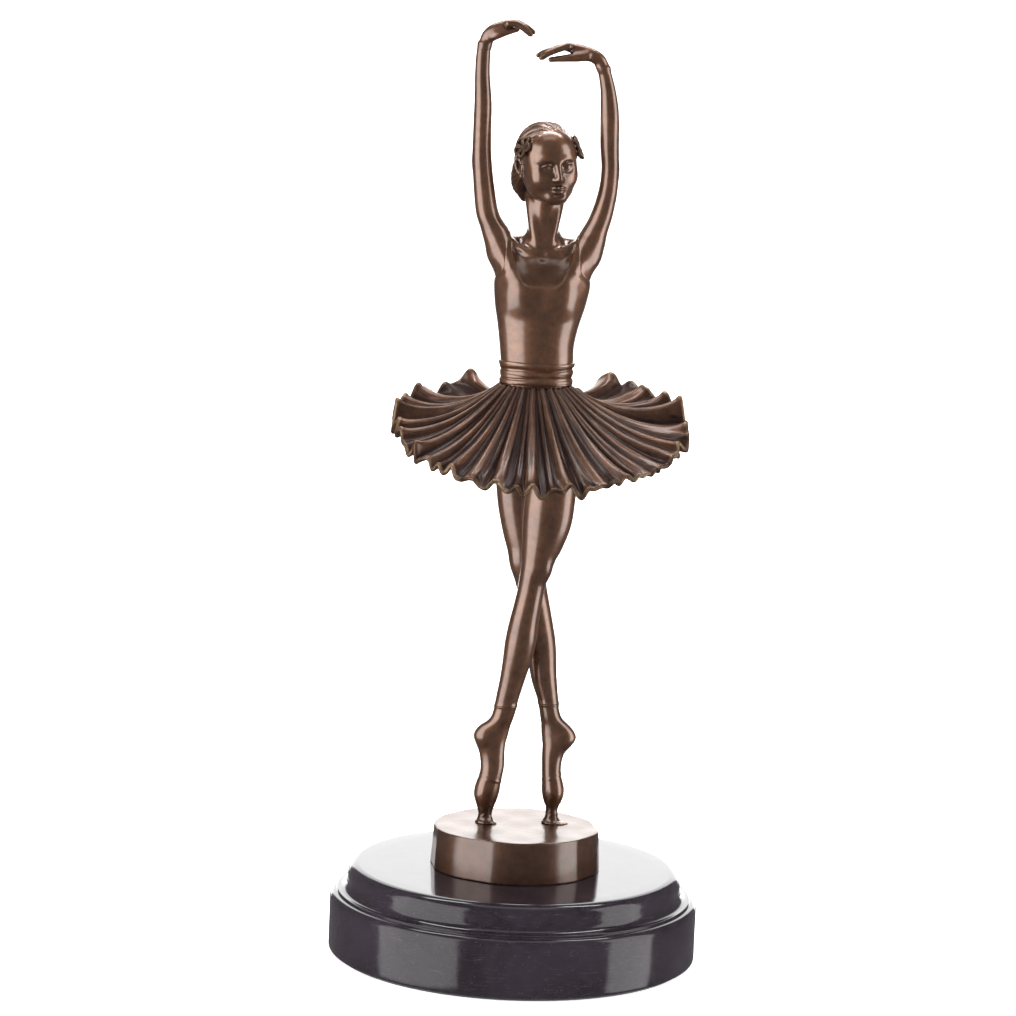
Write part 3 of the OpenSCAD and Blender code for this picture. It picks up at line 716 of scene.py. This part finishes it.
def make_tutu():
    count = PLEATS * PLEAT_POINTS
    a = np.linspace(0, 2 * math.pi, count, endpoint=False)[None, :]
    t = np.linspace(0, 1, SKIRT_RINGS)[:, None]
    mid, wave = skirt_surface(a + 0 * t, t + 0 * a)
    across = np.roll(mid, -1, axis=1) - np.roll(mid, 1, axis=1)
    along = np.gradient(mid, axis=0)
    n = np.cross(across, along)
    n = n / np.linalg.norm(n, axis=2, keepdims=True)
    n = n * np.sign(n[..., 2:3].mean())
    half = SKIRT_T / 2 * (1 + 0.3 * np.clip((t - 0.95) / 0.05, 0, 1))[..., None]
    rim_out = along[-1] / np.linalg.norm(along[-1], axis=1, keepdims=True)
    upper = mid + n * half
    lower = mid - n * half
    bead = [mid[-1] + n[-1] * half[-1] * c + rim_out * half[-1] * s
            for c, s in ((0.7, 0.7), (0, 1), (-0.7, 0.7))]
    loops = [*upper, *bead, *lower[::-1]]
    waves = [*wave, *[wave[-1]] * len(bead), *(-wave[::-1])]
    near_rim = np.clip((t[:, 0] - 0.95) / 0.05, 0, 1)
    edge = [*near_rim, *[1] * len(bead), *near_rim[::-1]]
    points = np.concatenate(loops)
    rings = len(loops)
    i = np.arange(count)
    quads = [np.stack([k * count + i, k * count + (i + 1) % count,
                       (k + 1) % rings * count + (i + 1) % count, (k + 1) % rings * count + i], -1)
             for k in range(rings)]
    piece = quad_object("tutu", (points + [0, 0, PLINTH_TOP]) * MM, np.concatenate(quads)[:, ::-1])
    wave = np.concatenate(waves)
    edge = np.repeat(edge, count)
    # painted shade in the pleats' valleys, weaker near the rim
    paint(piece, "hollow", np.clip(0.35 - 0.8 * wave, 0, 1) * (1 - 0.4 * edge))
    paint(piece, "ridge", np.clip(0.45 * np.clip(wave, 0, 1) ** 4 + 0.75 * edge ** 2, 0, 1))
    pieces["tutu"] = piece


# ---------------------------------------------------------------- base

PLINTH_LO, PLINTH_HI = (np.array(v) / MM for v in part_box("plinth"))
PLINTH_R = (PLINTH_HI[0] - PLINTH_LO[0]) / 2
PLINTH_FLATS = (10, 52, 98, 143, 188, 241, 330)    # the way each hand-filed flat faces


def plinth_field(p):
    """Hollow plinth with hand-filed flats, standing on the marble."""
    a = np.arctan2(p[:, 1], p[:, 0])
    r = np.hypot(p[:, 0], p[:, 1])
    height = PLINTH_HI[2] - PLINTH_LO[2]
    z = p[:, 2] - PLINTH_LO[2]
    outline = PLINTH_R - 0.9 * z / height + 0.07 * np.sin(5 * a + 0.25 * z)
    d = r - outline
    for flat in PLINTH_FLATS:
        c, s = math.cos(math.radians(flat)), math.sin(math.radians(flat))
        facing = p[:, 0] * c + p[:, 1] * s - (outline - 0.6)
        d = -meet(-d, -facing, 0.25)
    top = (height + 0.1 * np.sin(0.35 * p[:, 0] + 1) * np.sin(0.3 * p[:, 1])
           + 0.7 * np.clip(-p[:, 1] / PLINTH_R, 0, 1))
    rim = 0.45 + 0.2 * np.sin(7 * a) * np.sin(3 * a + 1)
    d = -meet(-d, -(z - top), rim)
    d = np.maximum(d, -z)
    core = np.maximum(r - (PLINTH_R - 4.4), z - (height - 3.4))
    d = np.maximum(d, -np.maximum(core, 8 - r))
    d = np.maximum(d, -np.maximum(r - 4.05, z - (height - 3.4)))
    return d


def lathe(name, outline, turns=192):
    """Solid of revolution from points of radius and height in millimetres.

    The first and last points are on the axis, or the outline closes on itself.
    """
    outline = np.asarray(outline, float)
    n = len(outline)
    a = np.linspace(0, 2 * math.pi, turns, endpoint=False)
    points = np.stack([outline[:, None, 0] * np.cos(a), outline[:, None, 0] * np.sin(a),
                       outline[:, None, 1] + 0 * a], -1).reshape(-1, 3)
    i = np.arange(turns)
    quads = [np.stack([k * turns + i, k * turns + (i + 1) % turns,
                       (k + 1) % n * turns + (i + 1) % turns, (k + 1) % n * turns + i], -1)
             for k in range(n)]
    piece = quad_object(name, points * MM, np.concatenate(quads))
    pieces[name] = piece
    return piece


def arc(x, z, rx, rz, start, end, n=12):
    a = np.radians(np.linspace(start, end, n))
    return list(zip(x + rx * np.cos(a), z + rz * np.sin(a)))


def make_marble():
    (lx, ly, z0), (hx, hy, z1) = (np.array(v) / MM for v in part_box("marble_base"))
    r = (hx - lx) / 2
    drum = z0 + 21.2
    neck = r - 6.3
    hole = 4.5
    outline = ([(hole, z0 + 12), (13, z0 + 12), (13, z0 + 0.5), (13.5, z0)]
               + [(r - 1.2, z0)] + arc(r - 1, z0 + 1, 1, 1, -80, 0, 5)
               + [(r, z0 + 6), (r, drum - 7)] + arc(r - 2.4, drum - 2.6, 2.4, 2.6, 0, 80, 12)
               + [(neck + 3.7, drum + 0.1)] + arc(neck + 3.3, drum + 0.7, 0.5, 0.4, -40, 70, 6)
               + arc(neck + 3.1, drum + 4.7, 3.1, 3.6, 268, 182, 22)
               + arc(neck - 3.9, z1 - 4.2, 3.9, 4.2, 0, 90, 20)
               + [(r - 16, z1), (r - 24, z1), (25, z1), (hole, z1)])
    lathe("marble_base", outline, 256)


def make_fixings():
    (lx, ly, z0), (hx, hy, z1) = (np.array(v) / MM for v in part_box("fixing_stud"))
    r = (hx - lx) / 2
    pitch = 1.25
    rows = [(0.01, z0), (r - 0.8, z0)]
    z = z0 + 0.6
    while z < z1 - 1.4:
        rows += [(r, z), (r, z + 0.15), (r - 0.65, z + pitch / 2), (r - 0.65, z + pitch / 2 + 0.12)]
        z += pitch
    rows += [(r - 0.8, z1), (0.01, z1)]
    lathe("fixing_stud", rows, 48)
    (lx, ly, z0), (hx, hy, z1) = (np.array(v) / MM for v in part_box("fixing_washer"))
    r = (hx - lx) / 2
    lathe("fixing_washer",
          [(4.2, z0), (r - 0.2, z0), (r, z0 + 0.25), (r, z1 - 0.2), (r - 0.2, z1), (4.2, z1)], 64)
    (lx, ly, z0), (hx, hy, z1) = (np.array(v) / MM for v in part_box("felt_pad"))
    r = (hx - lx) / 2
    lathe("felt_pad",
          [(0.01, z0), (r - 0.3, z0), (r, z0 + 0.3), (r, z1 - 0.1), (r - 0.1, z1), (0.01, z1)], 160)
    make_nut()


def make_nut():
    (lx, ly, z0), (hx, hy, z1) = (np.array(v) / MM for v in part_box("fixing_nut"))
    corner = (hx - lx) / 2
    flat = corner * math.cos(math.pi / 6)

    def field(p):
        d = np.abs(p[:, 2] - (z0 + z1) / 2) - (z1 - z0) / 2
        for k in range(3):
            c, s = math.cos(math.pi / 3 * k + math.pi / 6), math.sin(math.pi / 3 * k + math.pi / 6)
            d = np.maximum(d, np.abs(p[:, 0] * c + p[:, 1] * s) - flat)
        r = np.hypot(p[:, 0], p[:, 1])
        slope = (r + 1.7 * np.abs(p[:, 2] - (z0 + z1) / 2)) / 1.97
        d = np.maximum(d, slope - (flat + 0.35 + 1.7 * (z1 - z0) / 2) / 1.97)
        return np.maximum(d, 4.03 - r)
    reach = corner + 1
    sculpt_piece("fixing_nut", field, [-reach, -reach, z0 - 1], [reach, reach, z1 + 1], 0.25, 0)


# ---------------------------------------------------------------- build the pieces

def below(field, z):
    return lambda p: np.maximum(field(p), p[:, 2] - z)


def foot_region(field):
    return lambda p: np.maximum(np.maximum(field(p), p[:, 2] - ANKLE), -p[:, 2])


def above(field, z):
    return lambda p: np.maximum(field(p), z - p[:, 2])


def build_figure():
    sculpt_piece("torso", torso_field, [-24, -16, WAIST - 2], [27, 16, NECK + 2])
    sculpt_piece("left_arm", below(arm_region(1), LEFT_WRIST + 0.4), [8, -11, 194], [30, 11, 276], 0.26)
    sculpt_piece("right_arm", below(arm_region(-1), RIGHT_WRIST + 0.4), [-29, -11, 194], [-6, 11, 283], 0.26)
    sculpt_piece("left_hand", above(left_hand_field, LEFT_WRIST), [-7, -14, 272], [25, -1, 287], 0.17)
    sculpt_piece("right_hand", above(right_hand_field, RIGHT_WRIST), [-28, -14, 279], [-3, -1, 294], 0.17)
    sculpt_piece("hips", hips_field, [-18, -15, 127], [21, 18, 164])
    sculpt_piece("left_leg", leg_region(left_leg_field, right_leg_field, False),
                 [-13, -15, 41], [20, 9, 152], 0.28)
    sculpt_piece("right_leg", leg_region(right_leg_field, left_leg_field, True),
                 [-17, -5, 41], [18, 19, 152], 0.28)
    sculpt_piece("left_foot", foot_region(left_leg_field), [-20, -4, -1], [0, 9, 44], 0.2)
    sculpt_piece("right_foot", foot_region(right_leg_field), [5, 2, -1], [24, 14, 44], 0.2)
    sculpt_piece("sash", sash_field(), [-17, -14, WAIST - 1], [18, 14, SASH_TOP + 2], 0.22)
    sculpt_piece("head", head_field, [-17, -18, 218], [19, 22, 262], 0.17)
    for name, direction, petals, size in (("left_hair_ornament", (1, -0.42, 0.4), 5, 3.2),
                                          ("right_hair_ornament", (-0.98, -0.36, 0.56), 5, 2.7)):
        at = on_head(direction)[0]
        sculpt_piece(name, rosette(direction, petals, size), at - 6, at + 6, 0.13)
    make_tutu()


build_figure()
sculpt_piece("plinth", plinth_field, [-31, -31, PLINTH_LO[2] - 1], [31, 31, PLINTH_HI[2] + 2], 0.4, 0)
# painted shade on the plinth through its skin attribute, darkest on its upward faces
paint(pieces["plinth"], "skin", 0.42 + 0.2 * np.clip(normals_of(pieces["plinth"])[:, 2] * 3 - 1.8, 0, 1))
# painted shade on the bare chest inside the neckline, through the skin attribute
at = places_of(pieces["torso"])
paint(pieces["torso"], "skin",
      0.4 * np.clip(-neckline(at) / 1.5, 0, 1) * np.clip((211 - at[:, 2]) / 4, 0, 1))
# the feet are painted darker towards their bottom, through the skin attribute
for name in ("left_foot", "right_foot"):
    paint(pieces[name], "skin", 0.4 * np.clip((13 - places_of(pieces[name])[:, 2]) / 8, 0, 1))
make_marble()
make_fixings()


# ---------------------------------------------------------------- materials

class Nodes:
    """Short way to write a node material."""

    def __init__(self, name):
        self.material = bpy.data.materials.new(name)
        self.material.use_nodes = True
        self.tree = self.material.node_tree
        self.shader = self.tree.nodes["Principled BSDF"]
        self.coords = self.tree.nodes.new("ShaderNodeTexCoord").outputs["Object"]

    def node(self, kind, sockets=(), **settings):
        made = self.tree.nodes.new("ShaderNode" + kind)
        for key, value in settings.items():
            setattr(made, key, value)
        for key, value in dict(sockets).items():
            self.put(made.inputs[key], value)
        return made

    def put(self, socket, value):
        if isinstance(value, bpy.types.NodeSocket):
            self.tree.links.new(value, socket)
        else:
            socket.default_value = value

    def noise(self, scale, detail=4, rough=0.55, distort=0.0):
        made = self.node("TexNoise", {"Vector": self.coords, "Scale": scale, "Detail": detail,
                                      "Roughness": rough, "Distortion": distort})
        return made.outputs["Fac"]

    def rays(self, scale, drawn):
        """Noise drawn out along lines that leave the Z axis."""
        flat = self.node("VectorMath", {0: self.coords, 1: (1, 1, 0)}, operation="MULTIPLY").outputs[0]
        unit = self.node("VectorMath", {0: flat}, operation="NORMALIZE").outputs[0]
        length = self.node("VectorMath", {0: flat}, operation="LENGTH").outputs["Value"]
        rise = self.node("CombineXYZ", {"Z": self.math("MULTIPLY", length, drawn)}).outputs[0]
        where = self.node("VectorMath", {0: unit, 1: rise}, operation="ADD").outputs[0]
        noise = self.node("TexNoise", {"Vector": where, "Scale": scale, "Detail": 4, "Roughness": 0.6})
        return noise.outputs["Fac"]

    def stretched(self, scale, x, y, z):
        """Noise on coordinates scaled by x, y and z."""
        where = self.node("VectorMath", {0: self.coords, 1: (x, y, z)}, operation="MULTIPLY").outputs[0]
        return self.node("TexNoise", {"Vector": where, "Scale": scale, "Detail": 3}).outputs["Fac"]

    def attribute(self, name):
        return self.node("Attribute", attribute_name=name).outputs["Fac"]

    def span(self, value, low, high, to_low=0.0, to_high=1.0):
        made = self.node("MapRange", {"Value": value, "From Min": low, "From Max": high,
                                      "To Min": to_low, "To Max": to_high})
        return made.outputs["Result"]

    def mix(self, fac, a, b):
        made = self.node("Mix", data_type="RGBA")
        self.put(made.inputs["Factor"], fac)
        self.put(made.inputs[6], a)
        self.put(made.inputs[7], b)
        return made.outputs[2]

    def math(self, kind, a, b):
        made = self.node("Math", operation=kind)
        self.put(made.inputs[0], a)
        self.put(made.inputs[1], b)
        return made.outputs[0]

    def bump(self, height, strength, distance):
        made = self.node("Bump", {"Height": height, "Strength": strength, "Distance": distance})
        self.put(self.shader.inputs["Normal"], made.outputs["Normal"])

    def set(self, **sockets):
        for key, value in sockets.items():
            self.put(self.shader.inputs[key.replace("_", " ")], value)


def rgb(r, g, b):
    return (r, g, b, 1.0)


def bronze(name, light, middle, dark, worn, hollow_amount, worn_amount, roughness, pleated=False):
    m = Nodes(name)
    cloudy = m.span(m.noise(70, 5), 0.35, 0.65)
    colour = m.mix(cloudy, middle, light)
    streak = m.span(m.noise(400, 3, 0.6), 0.4, 0.75)
    colour = m.mix(m.math("MULTIPLY", streak, 0.35), colour, dark)
    # painted shade: the hollow measure and the painted skin attribute darken the colour toward dark, roughen
    # it and thin the coat
    hollow = m.math("MAXIMUM", m.attribute("hollow"), m.attribute("skin"))
    hollow = m.span(hollow, 0.06, 0.7, 0, hollow_amount)
    grain = m.rays(64, 1.3) if pleated else m.noise(220, 2)
    if pleated:
        # on pleats, radial grain streaks are added to the painted shade mask
        hollow = m.math("ADD", hollow, m.span(grain, 0.5, 0.68, 0, 0.7))
    colour = m.mix(hollow, colour, dark)
    rubbed = m.math("MULTIPLY", m.span(m.attribute("ridge"), 0.35, 0.95),
                    m.span(m.noise(110, 3), 0.42, 0.6, 0.1, 1))
    colour = m.mix(m.math("MULTIPLY", rubbed, worn_amount), colour, worn)
    rough = m.span(m.noise(160, 4), 0.3, 0.7, roughness - 0.05, roughness + 0.09)
    rough = m.math("ADD", rough, m.math("MULTIPLY", hollow, 0.15))
    coat = m.span(hollow, 0, 1, 0.3 if pleated else 1, 0.06 if pleated else 0.6)
    m.set(Base_Color=colour, Roughness=rough, Metallic=0.9, Specular_Tint=rgb(0.8, 0.66, 0.58),
          Coat_Weight=coat, Coat_Roughness=0.2, Coat_IOR=2.0)
    relief = m.math("ADD", m.noise(900, 3), m.math("MULTIPLY", grain, 9 if pleated else 1.5))
    m.bump(relief, 0.3 if pleated else 0.25, 0.00014)
    return m.material


def marble_material():
    m = Nodes("dark_marble")
    cloud = m.span(m.noise(35, 6, 0.6, 0.6), 0.3, 0.75)
    colour = m.mix(cloud, rgb(0.011, 0.008, 0.011), rgb(0.025, 0.019, 0.026))
    cells = m.node("TexVoronoi", {"Vector": m.coords, "Scale": 1500.0}).outputs["Distance"]
    speck = m.math("MULTIPLY", m.span(cells, 0.16, 0.08), m.span(m.noise(500, 2), 0.56, 0.62))
    colour = m.mix(m.math("MULTIPLY", speck, 0.5), colour, rgb(0.30, 0.27, 0.31))
    scratch = m.span(m.stretched(220, 1, 1, 14), 0.6, 0.75, 0, 0.02)
    colour = m.mix(scratch, colour, rgb(0.9, 0.8, 0.9))
    rough = m.span(m.noise(260, 4), 0.35, 0.7, 0.09, 0.16)
    m.set(Base_Color=colour, Roughness=rough, Specular_IOR_Level=0.5)
    m.bump(m.noise(60, 2), 0.03, 0.00005)
    return m.material


def steel_material():
    m = Nodes("zinc_steel")
    colour = m.mix(m.span(m.noise(300, 4), 0.35, 0.7), rgb(0.42, 0.43, 0.44), rgb(0.62, 0.62, 0.60))
    m.set(Base_Color=colour, Roughness=m.span(m.noise(900, 3), 0.3, 0.7, 0.28, 0.42), Metallic=1.0)
    m.bump(m.noise(2500, 2), 0.2, 0.00003)
    return m.material


def felt_material():
    m = Nodes("base_felt")
    fibre = m.noise(3500, 4, 0.7, 1.5)
    colour = m.mix(m.span(fibre, 0.35, 0.7), rgb(0.010, 0.011, 0.011), rgb(0.030, 0.032, 0.031))
    m.set(Base_Color=colour, Roughness=0.95, Sheen_Weight=0.4, Sheen_Roughness=0.6)
    m.bump(fibre, 0.6, 0.0002)
    return m.material


MATERIALS = {
    "cast_bronze": bronze("cast_bronze", light=rgb(0.235, 0.098, 0.043), middle=rgb(0.165, 0.067, 0.030),
                          dark=rgb(0.030, 0.013, 0.009), worn=rgb(0.46, 0.27, 0.14),
                          hollow_amount=0.85, worn_amount=0.3, roughness=0.38),
    "dark_bronze": bronze("dark_bronze", light=rgb(0.160, 0.074, 0.040), middle=rgb(0.092, 0.042, 0.026),
                          dark=rgb(0.026, 0.014, 0.013), worn=rgb(0.55, 0.38, 0.22),
                          hollow_amount=0.9, worn_amount=0.5, roughness=0.4, pleated=True),
    "dark_marble": marble_material(),
    "zinc_steel": steel_material(),
    "base_felt": felt_material(),
}
SLOT = {s["node"]: s["material_slot"] for s in frame["record"]["subparts"]}

for name, piece in pieces.items():
    piece.data.materials.append(MATERIALS[SLOT[name]])
    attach(piece, "root")
    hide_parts(name)

for name, made in frame["nodes"].items():
    if name not in pieces:
        for obj in made if isinstance(made, (list, tuple)) else [made]:
            for i in range(len(obj.material_slots)):
                obj.material_slots[i].material = MATERIALS[SLOT[name]]


# ---------------------------------------------------------------- stage, lights and camera

def stage_material():
    m = Nodes("paper")
    m.set(Base_Color=m.mix(m.noise(3), rgb(0.90, 0.90, 0.90), rgb(0.93, 0.93, 0.93)), Roughness=0.55,
          Emission_Color=rgb(1, 1, 1), Emission_Strength=0.65)
    return m.material


def make_stage():
    """Pale round floor that curves up into a pale wall, which glossy reflections don't see."""
    flat, bend, tall, turns = 2.6, 0.8, 3.4, 96
    curve = [(flat + bend * math.sin(a), bend - bend * math.cos(a)) for a in np.linspace(0, math.pi / 2, 16)]
    profile = [(0.15, 0), (0.6, 0), (1.4, 0), *curve, (flat + bend, tall)]
    verts = [(r * math.cos(2 * math.pi * i / turns), r * math.sin(2 * math.pi * i / turns), z)
             for r, z in profile for i in range(turns)] + [(0, 0, 0)]
    faces = [(k * turns + i, k * turns + (i + 1) % turns,
              (k + 1) * turns + (i + 1) % turns, (k + 1) * turns + i)
             for k in range(len(profile) - 1) for i in range(turns)]
    faces += [(len(verts) - 1, (i + 1) % turns, i) for i in range(turns)]
    sweep = new_object("paper_sweep", verts, faces)
    sweep.data.materials.append(stage_material())
    sweep.visible_glossy = False
    sweep.visible_shadow = False


def area_light(name, at, aim, size, power, colour=(1, 1, 1)):
    data = bpy.data.lights.new(name, "AREA")
    data.shape = "RECTANGLE"
    data.size, data.size_y = size
    data.energy = power
    data.color = colour
    lamp = bpy.data.objects.new(name, data)
    bpy.context.collection.objects.link(lamp)
    lamp.location = at
    direction = np.subtract(aim, at)
    lamp.rotation_euler = Vector(direction).to_track_quat("-Z", "Y").to_euler()


def make_lights():
    middle = (0, 0, 0.2)
    area_light("left_softbox", (-1.22, -0.68, 0.35), (0, 0, 0.35), (1.5, 1.9), 20)
    area_light("right_softbox", (1.37, -0.27, 0.35), (0, 0, 0.35), (0.85, 1.9), 12)
    area_light("top_softbox", (0, -0.1, 1.6), middle, (1.0, 0.8), 2.5)
    area_light("back_softbox", (0, 1.4, 0.55), (0, 0, 0.3), (1.3, 1.5), 17.5)
    area_light("backdrop_light", (0, 0.6, 2.2), (0, 2.6, 0.2), (2.4, 0.6), 60)
    world = bpy.data.worlds.new("studio")
    world.use_nodes = True
    world.node_tree.nodes["Background"].inputs["Color"].default_value = rgb(1, 1, 1)
    world.node_tree.nodes["Background"].inputs["Strength"].default_value = 0.13
    bpy.context.scene.world = world


def make_camera():
    at = (-0.0078, -1.5, 0.4030)
    pitch, roll = math.radians(9.03), math.radians(2.4)
    data = bpy.data.cameras.new("camera")
    data.sensor_width = 36.0
    data.lens = 149.6
    camera = bpy.data.objects.new("camera", data)
    bpy.context.collection.objects.link(camera)
    camera.matrix_world = (Matrix.Translation(at)
                           @ Matrix.Rotation(math.pi / 2 - pitch, 4, "X") @ Matrix.Rotation(roll, 4, "Z"))
    bpy.context.scene.camera = camera


make_stage()
make_lights()
make_camera()
bpy.context.scene.view_settings.view_transform = "Standard"
